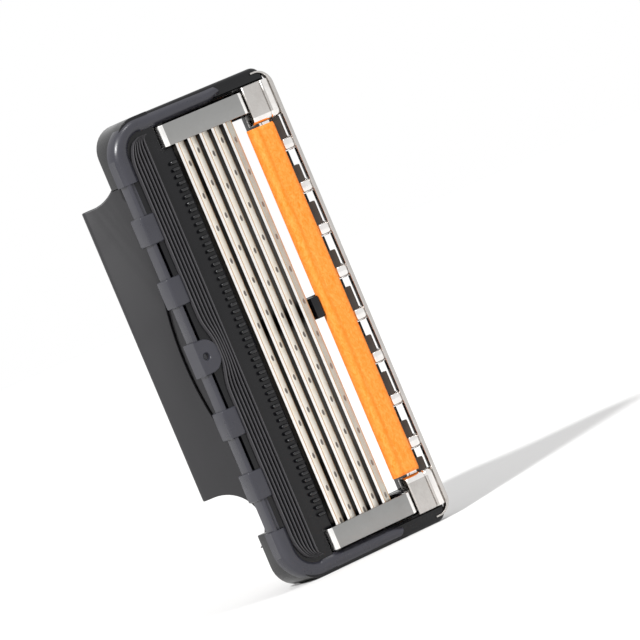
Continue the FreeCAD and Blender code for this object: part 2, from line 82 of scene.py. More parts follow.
def plain_material(name, colour, rough):
    """A Principled material with its colour and roughness set on the shader's own sockets."""
    material = bpy.data.materials.new(name)
    material.use_nodes = True
    shader = material.node_tree.nodes["Principled BSDF"]
    shader.inputs["Base Color"].default_value = (*colour, 1)
    shader.inputs["Roughness"].default_value = rough
    return material


def mesh_piece(name, vertices, faces, material, smooth=True):
    """A mesh object from millimetre points and faces, its normals turned outwards."""
    mesh = bpy.data.meshes.new(name)
    mesh.from_pydata((np.asarray(vertices, float) * MM).tolist(), [], [list(f) for f in faces])
    made = bmesh.new()
    made.from_mesh(mesh)
    bmesh.ops.remove_doubles(made, verts=made.verts, dist=0.0005 * MM)
    bmesh.ops.recalc_face_normals(made, faces=made.faces)
    made.to_mesh(mesh)
    made.free()
    mesh.materials.append(material)
    piece = bpy.data.objects.new(name, mesh)
    bpy.context.scene.collection.objects.link(piece)
    if smooth:
        mesh.shade_smooth()
        mesh.set_sharp_from_angle(angle=math.radians(38))
    return piece


table_top = mesh_piece(
    "table_top", [(-900, -900, 0), (900, -900, 0), (900, 900, 0), (-900, 900, 0)], [(0, 1, 2, 3)],
    plain_material("table_white", (0.92, 0.915, 0.91), 0.6), smooth=False,
)
if table_top.data.polygons[0].normal.z < 0:
    table_top.data.flip_normals()


# ---- light ------------------------------------------------------------------------------------------
# A white room with a broad sun from the upper left, and a small lamp above that draws the highlights
# along the ends. The room looks and reflects whiter than it lights, so that the sun gives some shadow.
ROOM_WHITE, ROOM_LIGHT = 1.0, 0.55
world = bpy.data.worlds.new("room")
bpy.context.scene.world = world
world.use_nodes = True
room_nodes, room_links = world.node_tree.nodes, world.node_tree.links
room = room_nodes["Background"]
room.inputs["Color"].default_value = (1, 1, 1, 1)
ray = room_nodes.new("ShaderNodeLightPath")
plain_seen = room_nodes.new("ShaderNodeMath")
plain_seen.operation = "MAXIMUM"
room_links.new(ray.outputs["Is Camera Ray"], plain_seen.inputs[0])
room_links.new(ray.outputs["Is Glossy Ray"], plain_seen.inputs[1])
room_level = room_nodes.new("ShaderNodeMapRange")
room_level.inputs["To Min"].default_value = ROOM_LIGHT
room_level.inputs["To Max"].default_value = ROOM_WHITE
room_links.new(plain_seen.outputs[0], room_level.inputs["Value"])
room_links.new(room_level.outputs["Result"], room.inputs["Strength"])

sun_data = bpy.data.lights.new("sun", "SUN")
sun_data.energy = 3.1
sun_data.angle = math.radians(5)
sun = bpy.data.objects.new("sun", sun_data)
bpy.context.scene.collection.objects.link(sun)
SUN_AZIMUTH, SUN_ELEVATION = math.radians(-55), math.radians(38)
sun.rotation_euler = Vector((
    math.sin(SUN_AZIMUTH) * math.cos(SUN_ELEVATION),
    -math.cos(SUN_AZIMUTH) * math.cos(SUN_ELEVATION),
    math.sin(SUN_ELEVATION),
)).to_track_quat("Z", "Y").to_euler()


def soft_lamp(name, azimuth, elevation, distance, size, power):
    """A square area lamp, placed by its angles round the cartridge and turned to it.

    azimuth and elevation are in degrees, distance and size in metres.
    """
    a, e = math.radians(azimuth), math.radians(elevation)
    data = bpy.data.lights.new(name, "AREA")
    data.size = size
    data.energy = power
    lamp = bpy.data.objects.new(name, data)
    bpy.context.scene.collection.objects.link(lamp)
    lamp.location = VIEW_TARGET + distance * Vector(
        (math.sin(a) * math.cos(e), -math.cos(a) * math.cos(e), math.sin(e))
    )
    lamp.rotation_euler = (VIEW_TARGET - lamp.location).to_track_quat("-Z", "Y").to_euler()


soft_lamp("end_lamp", 10, 62, 0.45, 0.06, 0.35)


# ---- connector --------------------------------------------------------------------------------------
# The connector is one hard, dark grey moulding. Its mouth takes the tip of a handle, and its two arms
# carry the pins that the cartridge turns on. It is drawn from the mould with a satin skin.


def sockets(group, way, kind, names):
    """Adds named sockets of one kind to a node group, way being INPUT or OUTPUT."""
    for name in names:
        group.interface.new_socket(name=name, in_out=way, socket_type=kind)


def moulded_grain_group():
    """Fine spark grain of a moulding: Height is small noise, Shade is a slow change of tone around 1."""
    group = bpy.data.node_groups.new("moulded_grain", "ShaderNodeTree")
    sockets(group, "INPUT", "NodeSocketFloat", (
        "Grain Size", "Cloud Size", "Cloud Depth", "Rough Low", "Rough High",
    ))
    sockets(group, "OUTPUT", "NodeSocketFloat", ("Height", "Shade", "Roughness"))
    nodes, links = group.nodes, group.links
    given, out = nodes.new("NodeGroupInput"), nodes.new("NodeGroupOutput")
    place = nodes.new("ShaderNodeTexCoord")
    grain, cloud = nodes.new("ShaderNodeTexNoise"), nodes.new("ShaderNodeTexNoise")
    grain.inputs["Detail"].default_value = 3.0
    cloud.inputs["Detail"].default_value = 5.0
    for noise, size in ((grain, "Grain Size"), (cloud, "Cloud Size")):
        links.new(place.outputs["Object"], noise.inputs["Vector"])
        links.new(given.outputs[size], noise.inputs["Scale"])
    links.new(grain.outputs["Fac"], out.inputs["Height"])
    centred = nodes.new("ShaderNodeMath")
    centred.operation = "SUBTRACT"
    centred.inputs[1].default_value = 0.5
    links.new(cloud.outputs["Fac"], centred.inputs[0])
    scaled = nodes.new("ShaderNodeMath")
    scaled.operation = "MULTIPLY_ADD"
    scaled.inputs[2].default_value = 1.0
    links.new(centred.outputs[0], scaled.inputs[0])
    links.new(given.outputs["Cloud Depth"], scaled.inputs[1])
    links.new(scaled.outputs[0], out.inputs["Shade"])
    rough = nodes.new("ShaderNodeMapRange")
    rough.inputs["From Min"].default_value = 0.35
    rough.inputs["From Max"].default_value = 0.65
    links.new(cloud.outputs["Fac"], rough.inputs["Value"])
    links.new(given.outputs["Rough Low"], rough.inputs["To Min"])
    links.new(given.outputs["Rough High"], rough.inputs["To Max"])
    links.new(rough.outputs["Result"], out.inputs["Roughness"])
    return group


moulded_grain = moulded_grain_group()


def plastic(name, colour, rough, bump, grain_size=9000.0, cloud=(300.0, 0.2), specular=0.5):
    """A moulded plastic or rubber: its colour times the grain's Shade, with the grain as fine bump."""
    material = plain_material(name, colour, rough[0])
    nodes, links = material.node_tree.nodes, material.node_tree.links
    shader = nodes["Principled BSDF"]
    shader.inputs["Specular IOR Level"].default_value = specular
    grain = nodes.new("ShaderNodeGroup")
    grain.node_tree = moulded_grain
    grain.inputs["Grain Size"].default_value = grain_size
    grain.inputs["Cloud Size"].default_value = cloud[0]
    grain.inputs["Cloud Depth"].default_value = cloud[1]
    grain.inputs["Rough Low"].default_value, grain.inputs["Rough High"].default_value = rough
    tint = nodes.new("ShaderNodeVectorMath")
    tint.operation = "SCALE"
    tint.inputs[0].default_value = colour
    links.new(grain.outputs["Shade"], tint.inputs["Scale"])
    links.new(tint.outputs["Vector"], shader.inputs["Base Color"])
    links.new(grain.outputs["Roughness"], shader.inputs["Roughness"])
    relief = nodes.new("ShaderNodeBump")
    relief.inputs["Strength"].default_value = 1.0
    relief.inputs["Distance"].default_value = bump * MM
    links.new(grain.outputs["Height"], relief.inputs["Height"])
    links.new(relief.outputs["Normal"], shader.inputs["Normal"])
    return material


def moulded_copy(node, name, material, width, segments=3, weight=lambda middle: 1.0):
    """A copy of a CAD node with rounded edges.

    Its loose triangles are merged and its flat faces joined. Each edge sharper than 30 degrees then
    gets a bevel of width times weight(middle), middle being an array of points in millimetres.
    """
    made = bmesh.new()
    made.from_mesh(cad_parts[node].data)
    bmesh.ops.remove_doubles(made, verts=made.verts, dist=0.001 * MM)
    bmesh.ops.dissolve_limit(
        made, angle_limit=math.radians(1.0), verts=made.verts, edges=made.edges, delimit=set(),
    )
    mesh = bpy.data.meshes.new(name)
    made.to_mesh(mesh)
    sharp = np.array([
        e.is_manifold and e.calc_face_angle(0.0) > math.radians(30) for e in made.edges
    ])
    ends = np.array([[v.co for v in e.verts] for e in made.edges]) / MM
    made.free()
    share = np.where(sharp, weight(ends.mean(axis=1)), 0.0)
    stored = mesh.attributes.new("bevel_weight_edge", "FLOAT", "EDGE")
    stored.data.foreach_set("value", share.astype(np.float32))
    mesh.materials.clear()
    mesh.materials.append(material)
    piece = bpy.data.objects.new(name, mesh)
    bpy.context.scene.collection.objects.link(piece)
    mesh.shade_smooth()
    bevel = piece.modifiers.new("rounded_edges", "BEVEL")
    bevel.limit_method = "WEIGHT"
    bevel.width = width * MM
    bevel.segments = segments
    bevel.use_clamp_overlap = False
    bevel.harden_normals = True
    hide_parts(node)
    return piece


connector_satin = plastic(
    "connector_satin", (0.017, 0.0165, 0.0185), (0.4, 0.52), 0.004, grain_size=12000.0, cloud=(220.0, 0.25),
)
# the edges near the pivot's line are small and take less of the bevel
PIVOT_X, PIVOT_REACH = -5.0, 1.2
connector = moulded_copy(
    "connector", "connector_moulding", connector_satin, 0.12, segments=4,
    weight=lambda middle: np.where(np.abs(middle[:, 0] - PIVOT_X) < PIVOT_REACH, 0.3, 1.0),
)
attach(connector, "connector_body")


# ---- housing ----------------------------------------------------------------------------------------
# The housing is a glossy black moulding: two end blocks, the guard bar with its comb, the cap bar and
# a centre rib. The long edges of its ends are well rounded, the small ones only broken.
housing_black = plastic(
    "housing_black", (0.003, 0.003, 0.004), (0.18, 0.3), 0.002, grain_size=5000.0, cloud=(500.0, 0.3),
    specular=0.32,
)
HOUSING_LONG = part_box("housing")[1].z / MM
HOUSING_FRONT, HOUSING_BACK = -2.2, 2.1
RIB_LOW, RIB_HIGH = 20.05, 21.95
RINSE_PITCH, RINSE_LONG, RINSE_COUNT = 3.95, 3.05, 9


def tube(sections):
    """Points and faces of a closed tube through equal rings of points, with a face over each end.

    sections has the shape (rings, points in a ring, 3). Quads join each ring to the next.
    """
    rings, count = sections.shape[:2]
    here = np.arange(rings - 1)[:, None] * count + np.arange(count)[None, :]
    turned = np.arange(rings - 1)[:, None] * count + (np.arange(count)[None, :] + 1) % count
    quads = np.stack((here, turned, turned + count, here + count), axis=-1).reshape(-1, 4)
    caps = [np.arange(count)[::-1], np.arange(count) + (rings - 1) * count]
    return sections.reshape(-1, 3), [*quads.tolist(), *[c.tolist() for c in caps]]


def join_parts(parts):
    """Several (points, faces) pairs as one, where faces may have any number of corners."""
    points, faces, start = [], [], 0
    for p, f in parts:
        points.append(np.asarray(p))
        faces += [[int(i) + start for i in face] for face in f]
        start += len(p)
    return np.concatenate(points), faces


def mirrored(points, faces):
    """The same piece at the other end of the cartridge."""
    points = np.array(points)
    points[:, 2] = HOUSING_LONG - points[:, 2]
    return points, [list(f)[::-1] for f in faces]


def corner_outline(x, z, radii, count=10):
    """A rectangle in XZ as a ring of points, each corner a quarter circle of its own radius.

    radii go round from the low X, low Z corner through high X, low Z.
    """
    spots = ((x[0], z[0], 180), (x[1], z[0], 270), (x[1], z[1], 0), (x[0], z[1], 90))
    ring = []
    for (px, pz, start), r in zip(spots, radii):
        turn = np.radians(start + np.linspace(0, 90, count))
        cx = px + r if px == x[0] else px - r
        cz = pz + r if pz == z[0] else pz - r
        ring.append(np.stack((cx + r * np.cos(turn), cz + r * np.sin(turn), np.cos(turn), np.sin(turn)), 1))
    return np.concatenate(ring)


def slab(outline, front, back, front_round, back_round, steps=6):
    """An outline in XZ carried from front to back in Y, its two rims turned over on quarter circles."""
    turn = np.linspace(0, math.pi / 2, steps)
    inset = np.concatenate((front_round * (1 - np.sin(turn)), back_round * (1 - np.cos(turn))))
    y = np.concatenate((front + front_round * (1 - np.cos(turn)), back - back_round * (1 - np.sin(turn))))
    xz = outline[None, :, :2] - inset[:, None, None] * outline[None, :, 2:]
    return tube(np.stack((xz[..., 0], np.broadcast_to(y[:, None], xz.shape[:2]), xz[..., 1]), -1))


def rounded_block(low, high, radius, count=2):
    """Points and faces of a box between two corners, its edges rounded.

    Each side is a grid whose outer cells take up the radius. Every point is then pulled to the sphere
    of that radius round the nearest point of the inner box.
    """
    low, high = np.array(low, float), np.array(high, float)
    turn = np.linspace(0, math.pi / 2, count + 1)
    edge = radius * (1 - np.cos(turn))
    faces, points, start = [], [], 0
    for axis in range(3):
        a, b = (axis + 1) % 3, (axis + 2) % 3
        us = np.unique(np.concatenate((low[a] + edge, high[a] - edge)))
        vs = np.unique(np.concatenate((low[b] + edge, high[b] - edge)))
        u, v = np.meshgrid(us, vs, indexing="ij")
        n, m = u.shape
        for side in (low[axis], high[axis]):
            grid = np.zeros((n, m, 3))
            grid[..., axis], grid[..., a], grid[..., b] = side, u, v
            corner = start + (np.arange(n - 1)[:, None] * m + np.arange(m - 1)[None, :])
            quads = np.stack((corner, corner + 1, corner + m + 1, corner + m), axis=-1).reshape(-1, 4)
            points.append(grid.reshape(-1, 3))
            faces += quads.tolist()
            start += n * m
    points = np.concatenate(points)
    inner = np.clip(points, low + radius, high - radius)
    away = points - inner
    return inner + away / np.maximum(np.linalg.norm(away, axis=1, keepdims=True), 1e-9) * radius, faces


# faces that would lie in one plane are set 0.01 to 0.05 mm apart
end_block = [
    slab(
        corner_outline((-7.7, -3.86), (0, 5.2), (2.3, 0.12, 0.12, 0.12)),
        HOUSING_FRONT + 0.012, HOUSING_BACK, 0.1, 0.25,
    ),
    slab(
        corner_outline((-5.4, 8.0), (0.012, 1.52), (0.5, 1.0, 0.3, 0.3)),
        HOUSING_FRONT + 0.025, HOUSING_BACK - 0.01, 0.38, 0.25,
    ),
    slab(
        corner_outline((-5.4, 7.985), (0.024, 3.7), (0.1, 1.3, 0.3, 0.1)),
        1.2, HOUSING_BACK - 0.02, 0.05, 0.25,
    ),
    rounded_block((-3.5, HOUSING_FRONT + 0.05, 1.4), (-2.89, HOUSING_BACK - 0.03, 3.7), 0.06),
    rounded_block((5.12, -1.2, 1.2), (7.98, HOUSING_BACK - 0.04, 3.7), 0.1),
    rounded_block((4.5, -1.9, 1.2), (4.74, HOUSING_BACK, 3.7), 0.05),
]
bars = [
    rounded_block((-7.69, HOUSING_FRONT, 3.4), (-2.87, -0.8, HOUSING_LONG - 3.4), 0.12),
    rounded_block((-5.32, HOUSING_FRONT - 0.07, 2.2), (-5.06, HOUSING_FRONT + 0.2, HOUSING_LONG - 2.2), 0.07),
    rounded_block((6.8, -1.2, 3.4), (7.29, HOUSING_BACK, HOUSING_LONG - 3.4), 0.1),
    rounded_block((7.74, -1.2, 3.4), (8.0, HOUSING_BACK, HOUSING_LONG - 3.4), 0.1),
    rounded_block((-1.9, 1.15, RIB_LOW), (6.9, HOUSING_BACK, RIB_HIGH), 0.12),
    rounded_block((3.74, HOUSING_FRONT, RIB_LOW), (4.52, HOUSING_BACK, RIB_HIGH), 0.1),
    rounded_block((-3.25, HOUSING_FRONT + 0.02, RIB_LOW), (-2.77, -0.85, RIB_HIGH), 0.08),
]
rinse_bars = [
    HOUSING_LONG / 2 + (number - RINSE_COUNT / 2) * RINSE_PITCH for number in range(RINSE_COUNT + 1)
]
half = (RINSE_PITCH - RINSE_LONG) / 2
for middle in rinse_bars:
    bars.append(rounded_block((7.1, -1.2, middle - half), (7.9, HOUSING_BACK, middle + half), 0.08))
lower_block = join_parts(end_block)
housing = mesh_piece(
    "housing_moulding", *join_parts([lower_block, mirrored(*lower_block), *bars]), housing_black,
)
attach(housing, "blade_unit")
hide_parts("housing")


# ---- comb -------------------------------------------------------------------------------------------
# Between the fins and the first blade runs a flat black strip with a low ridge, and a comb of small
# arched teeth. All of it is moulded with the housing.
COMB_PITCH, COMB_TEETH = 0.62, 53
TOOTH_HALF, TOOTH_RISE = 0.17, 0.3
comb_gloss = plastic(
    "comb_gloss", (0.003, 0.003, 0.004), (0.10, 0.18), 0.001, grain_size=5000.0, cloud=(500.0, 0.3),
)
comb_blocks = []
for number in range(COMB_TEETH):
    middle = HOUSING_LONG / 2 + (number - (COMB_TEETH - 1) / 2) * COMB_PITCH
    comb_blocks.append(rounded_block(
        (-3.85, HOUSING_FRONT - TOOTH_RISE, middle - TOOTH_HALF),
        (-3.1, HOUSING_FRONT + TOOTH_RISE, middle + TOOTH_HALF), TOOTH_HALF, count=4,
    ))
comb = mesh_piece("comb_teeth", *join_parts(comb_blocks), comb_gloss)
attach(comb, "blade_unit")


# ---- guard elastomer --------------------------------------------------------------------------------
# A soft grey rubber is moulded onto the guard side in a second shot. It makes the bead that wraps both
# ends, the outer rim with its windows and pads, and the fins that stretch the skin.
elastomer_grey = plastic(
    "elastomer_grey", (0.028, 0.028, 0.037), (0.24, 0.38), 0.005, grain_size=7000.0, cloud=(400.0, 0.25),
)
# the fins are the guard rubber painted lighter, a painted highlight along their ridges
fin_painted_highlight = plastic(
    "fin_painted_highlight", (0.055, 0.053, 0.057), (0.26, 0.4), 0.004, grain_size=9000.0, cloud=(400.0, 0.25),
)
RIM_OUT, RIM_TOP = -8.6, -2.45
CORNER_POINTS = 40
BEAD_END = 36.8


def bead(inner, outer, top, bottom, crown, across=14):
    """A rubber bead between two lines in the XZ plane, both of shape (n, 2).

    Its section rises from bottom as a rounded crown whose height over the flanks is crown, a
    superellipse across the width.
    """
    t = np.linspace(-1, 1, across)
    lift = crown * (1 - np.abs(t) ** 2.6)
    share = (t[None, :, None] + 1) / 2
    over = inner[:, None, :] * (1 - share) + outer[:, None, :] * share
    face = np.stack((over[..., 0], np.broadcast_to(top + crown - lift, over.shape[:2]), over[..., 1]), -1)
    flanks = over[:, [-1, 0]]
    under = np.stack((flanks[..., 0], np.full((len(over), 2), bottom), flanks[..., 1]), -1)
    return tube(np.concatenate((face, under), axis=1))


def corner_line(tip_x, tip_z, corner, radius, end_z):
    """A line from a tip along an end, round a corner ellipse and down the guard side to end_z.

    radius holds the ellipse's half widths along X and Z.
    """
    straight = np.linspace((tip_x, tip_z), (corner[0], corner[1] + radius[1]), CORNER_POINTS)
    turn = np.linspace(math.pi / 2, math.pi, CORNER_POINTS)[1:]
    arc = np.stack((corner[0] + radius[0] * np.cos(turn), corner[1] + radius[1] * np.sin(turn)), 1)
    down = np.linspace(corner[1], end_z, 10)[1:]
    side = np.stack((np.full(len(down), corner[0] - radius[0]), down), 1)
    return np.concatenate((straight, arc, side))


bead_outer = corner_line(2.9, 41.76, (-5.3, 38.5), (3.3, 3.34), BEAD_END)
bead_inner = corner_line(3.4, 40.72, (-5.3, 38.9), (1.72, 1.68), BEAD_END)
bead_inner[:CORNER_POINTS, 1] = np.interp(
    bead_inner[:CORNER_POINTS, 0], [-5.3, -3.6, 2.2, 3.4], [40.5, 40.48, 40.6, 41.0]
)
bead_points, bead_faces = bead(bead_inner, bead_outer, RIM_TOP, -0.9, 0.42)

PADS = (27.0, 32.65)
PAD_HALF = 1.27
PAD_IN = -7.12
BAR_OUT, BAR_IN = -8.36, -7.92
BAR_START, WEB_START, BAR_END = 21, 33.6, 37.2
rim_blocks = []
for middle in PADS:
    rim_blocks.append(rounded_block(
        (RIM_OUT, RIM_TOP + 0.02, middle - PAD_HALF), (PAD_IN, -0.5, middle + PAD_HALF), 0.16, count=3,
    ))
rim_blocks.append(rounded_block(
    (BAR_OUT, RIM_TOP + 0.12, BAR_START), (BAR_IN, -0.8, BAR_END), 0.2, count=4,
))
# the window nearest each corner is closed by a low web
rim_blocks.append(rounded_block(
    (BAR_IN - 0.1, RIM_TOP + 0.30, WEB_START), (PAD_IN + 0.02, -0.8, BAR_END), 0.1,
))


def dimpled_pad(middle, half, out, centre, radius, hole):
    """The centre pad: square outside, half round towards the fins, with a round dimple in its face.

    The outline is a ring of points, drawn in towards the dimple's rim and then down into it.
    """
    turn = np.linspace(0, 2 * math.pi, 64, endpoint=False)
    x, z = np.cos(turn), np.sin(turn)
    stretch = np.where(x < 0, 1 / np.maximum(np.maximum(np.abs(x), np.abs(z)), 1e-6), 1.0)
    left = (centre - out) * np.where(x < 0, x * stretch, 0) + radius * np.where(x >= 0, x, 0)
    ring = np.stack((centre + left, middle + half * z * stretch), 1)
    rim = np.stack((centre + hole * np.cos(turn), middle + hole * np.sin(turn)), 1)
    steps = [
        (ring, -0.6), (ring, RIM_TOP + 0.14),
        (ring * 0.992 + np.array([centre, middle]) * 0.008, RIM_TOP + 0.06),
        (ring * 0.965 + np.array([centre, middle]) * 0.035, RIM_TOP), (rim, RIM_TOP),
        ((rim - [centre, middle]) * 0.86 + [centre, middle], RIM_TOP + 0.05),
        ((rim - [centre, middle]) * 0.74 + [centre, middle], RIM_TOP + 0.3),
    ]
    return tube(np.stack([np.stack((p[:, 0], np.full(len(p), y), p[:, 1]), 1) for p, y in steps]))


half_rim = join_parts([*rim_blocks, (bead_points, bead_faces)])
centre_pad = dimpled_pad(HOUSING_LONG / 2, 1.5, RIM_OUT, -7.85, 1.38, 0.38)
rim = mesh_piece("guard_rim", *join_parts([half_rim, mirrored(*half_rim), centre_pad]), elastomer_grey)
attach(rim, "blade_unit")
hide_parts("guard_elastomer")

FIN_FIRST, FIN_PITCH, FIN_COUNT = -7.08, 0.34, 6
FIN_HALF, FIN_RISE = 0.05, 0.42
FIN_MEET, FIN_INSET = -4.98, 1.78


def fin(index):
    """One fin: a thin ridge with a rounded top, bowed round the centre pad and curved in at its ends.

    The bow is exp(-d**3) of the distance from the middle and fades from the outer fin to the inner
    one. The ends turn on a quarter circle towards FIN_MEET, where the fins run together.
    """
    fade = 1 - index / (FIN_COUNT - 1)
    x0 = FIN_FIRST + index * FIN_PITCH
    z = np.linspace(FIN_INSET, HOUSING_LONG - FIN_INSET, 150)
    from_middle = np.abs(z - HOUSING_LONG / 2)
    bow = 0.54 * fade ** 1.2 * np.exp(-((from_middle / 2.2) ** 3))
    bend_start = HOUSING_LONG / 2 - 4.4 + 0.42 * index
    curl = np.clip((from_middle - bend_start) / (2.62 - 0.42 * index), 0, 1)
    meet = FIN_MEET - 0.13 * (FIN_COUNT - 1 - index)
    x = x0 + bow + (1 - np.sqrt(np.clip(1 - curl**2, 0, 1))) * (meet - x0)
    turn = np.linspace(0, math.pi, 6)
    profile = np.concatenate((np.stack((-np.cos(turn), np.sin(turn)), 1), [[1, -1.2], [-1, -1.2]]))
    ring_x = x[:, None] + FIN_HALF * profile[None, :, 0]
    crest = 0.09 * (1 - np.maximum(profile[None, :, 1], 0))
    ring_y = np.broadcast_to(HOUSING_FRONT - FIN_RISE + crest, ring_x.shape)
    ring_y = np.where(profile[None, :, 1] < -1, HOUSING_FRONT + 0.1, ring_y)
    return tube(np.stack((ring_x, ring_y, np.broadcast_to(z[:, None], ring_x.shape)), -1))


fins = mesh_piece("guard_fins", *join_parts([fin(i) for i in range(FIN_COUNT)]), fin_painted_highlight)
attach(fins, "blade_unit")


# ---- blades -----------------------------------------------------------------------------------------
# Five hard steel strips, ground to an edge and coated, each spot welded to a bent support that slides
# on two plastic fingers. The welds show as small ovals in a staggered row.


def rolled_metal_group():
    """Rolled or brushed sheet: fine lines along Z and a slow stain."""
    group = bpy.data.node_groups.new("rolled_metal", "ShaderNodeTree")
    sockets(group, "INPUT", "NodeSocketFloat", (
        "Line Size", "Line Length", "Stain Size", "Stain Depth", "Rough Low", "Rough High",
    ))
    sockets(group, "INPUT", "NodeSocketColor", ("Colour", "Stain"))
    sockets(group, "OUTPUT", "NodeSocketColor", ("Tone",))
    sockets(group, "OUTPUT", "NodeSocketFloat", ("Roughness", "Height"))
    nodes, links = group.nodes, group.links
    given, out = nodes.new("NodeGroupInput"), nodes.new("NodeGroupOutput")
    place = nodes.new("ShaderNodeTexCoord")
    stretch = nodes.new("ShaderNodeCombineXYZ")
    stretch.inputs["X"].default_value = 1.0
    stretch.inputs["Y"].default_value = 1.0
    links.new(given.outputs["Line Length"], stretch.inputs["Z"])
    along = nodes.new("ShaderNodeVectorMath")
    along.operation = "MULTIPLY"
    links.new(place.outputs["Object"], along.inputs[0])
    links.new(stretch.outputs[0], along.inputs[1])
    lines = nodes.new("ShaderNodeTexNoise")
    lines.inputs["Detail"].default_value = 2.0
    links.new(along.outputs["Vector"], lines.inputs["Vector"])
    links.new(given.outputs["Line Size"], lines.inputs["Scale"])
    stain = nodes.new("ShaderNodeTexNoise")
    stain.inputs["Detail"].default_value = 6.0
    stain.inputs["Roughness"].default_value = 0.65
    links.new(place.outputs["Object"], stain.inputs["Vector"])
    links.new(given.outputs["Stain Size"], stain.inputs["Scale"])
    share = nodes.new("ShaderNodeMapRange")
    share.inputs["From Min"].default_value = 0.45
    share.inputs["From Max"].default_value = 0.75
    links.new(stain.outputs["Fac"], share.inputs["Value"])
    links.new(given.outputs["Stain Depth"], share.inputs["To Max"])
    tone = nodes.new("ShaderNodeMix")
    tone.data_type = "RGBA"
    links.new(share.outputs["Result"], tone.inputs["Factor"])
    links.new(given.outputs["Colour"], tone.inputs["A"])
    links.new(given.outputs["Stain"], tone.inputs["B"])
    links.new(tone.outputs["Result"], out.inputs["Tone"])
    rough = nodes.new("ShaderNodeMapRange")
    rough.inputs["From Min"].default_value = 0.3
    rough.inputs["From Max"].default_value = 0.7
    links.new(lines.outputs["Fac"], rough.inputs["Value"])
    links.new(given.outputs["Rough Low"], rough.inputs["To Min"])
    links.new(given.outputs["Rough High"], rough.inputs["To Max"])
    links.new(rough.outputs["Result"], out.inputs["Roughness"])
    links.new(lines.outputs["Fac"], out.inputs["Height"])
    return group


rolled_metal = rolled_metal_group()


def sheet_metal(name, colour, stain, depth, rough, bump=0.002, stain_size=700.0, line=(9000.0, 0.03)):
    """A bare or coated metal with the rolled_metal group on its colour, roughness and bump."""
    material = plain_material(name, colour, rough[0])
    nodes, links = material.node_tree.nodes, material.node_tree.links
    shader = nodes["Principled BSDF"]
    shader.inputs["Metallic"].default_value = 1.0
    rolled = nodes.new("ShaderNodeGroup")
    rolled.node_tree = rolled_metal
    rolled.inputs["Line Size"].default_value, rolled.inputs["Line Length"].default_value = line
    rolled.inputs["Stain Size"].default_value = stain_size
    rolled.inputs["Colour"].default_value = (*colour, 1)
    rolled.inputs["Stain"].default_value = (*stain, 1)
    rolled.inputs["Stain Depth"].default_value = depth
    rolled.inputs["Rough Low"].default_value, rolled.inputs["Rough High"].default_value = rough
    links.new(rolled.outputs["Tone"], shader.inputs["Base Color"])
    links.new(rolled.outputs["Roughness"], shader.inputs["Roughness"])
    relief = nodes.new("ShaderNodeBump")
    relief.inputs["Distance"].default_value = bump * MM
    links.new(rolled.outputs["Height"], relief.inputs["Height"])
    links.new(relief.outputs["Normal"], shader.inputs["Normal"])
    return material


BLADE_COUNT, BLADE_TILT = 5, math.radians(22)
BLADE_ENDS = (1.8, 40.2)
FIRST_EDGE, BLADE_PITCH, EDGE_LEVEL = -2.7, 1.25, -2.5
WELD_START, WELD_PITCH = 3.7, 2.98
blade_steel = sheet_metal(
    "blade_steel", (0.99, 0.94, 0.85), (0.93, 0.72, 0.45), 0.4, (0.30, 0.45), stain_size=900.0,
)
blade_steel.node_tree.nodes["Principled BSDF"].inputs["Metallic"].default_value = 0.6
fifth_steel = sheet_metal(
    "blade_steel_bare", (0.52, 0.49, 0.43), (0.40, 0.35, 0.28), 0.4, (0.18, 0.28), stain_size=900.0,
)
border_steel = sheet_metal(
    "blade_border", (0.62, 0.38, 0.18), (0.34, 0.19, 0.09), 0.4, (0.3, 0.45), stain_size=1500.0,
)
ground_steel = sheet_metal(
    "ground_edge", (0.9, 0.88, 0.86), (0.5, 0.4, 0.3), 0.25, (0.10, 0.2), stain_size=2000.0,
)
weld_steel = sheet_metal(
    "weld_steel", (0.26, 0.23, 0.21), (0.14, 0.12, 0.1), 0.6, (0.3, 0.5), stain_size=3000.0,
)


def on_blade(number, along, across):
    """Millimetre (x, y) of a point on a blade: along from its edge, across away from the face."""
    cos, sin = math.cos(BLADE_TILT), math.sin(BLADE_TILT)
    edge = FIRST_EDGE + BLADE_PITCH * number
    return np.stack((edge + along * cos - across * sin, EDGE_LEVEL + along * sin + across * cos), -1)


def strip_along(outline, ends):
    """An (n, 2) outline in XY carried from one Z to another."""
    return tube(np.stack([np.column_stack((outline, np.full(len(outline), z))) for z in ends]))


BLADE_OUTLINE = np.array([
    (0.0, 0.0), (0.10, -0.022), (0.28, -0.05), (0.38, -0.05), (1.08, -0.05), (1.17, -0.05), (1.2, -0.02),
    (1.2, 0.05), (0.34, 0.05),
])


def weld(number, z):
    """A shallow oval crater: a raised lip round a sunken floor, on the blade's outer face."""
    turn = np.linspace(0, 2 * math.pi, 14, endpoint=False)
    rings = []
    for share, height in ((1.0, 0.0), (0.86, 0.016), (0.62, 0.012), (0.4, 0.003)):
        flat = on_blade(number, 0.76 + 0.15 * share * np.cos(turn), -0.0505 - height)
        rings.append(np.column_stack((flat, z + 0.27 * share * np.sin(turn))))
    return tube(np.stack(rings))


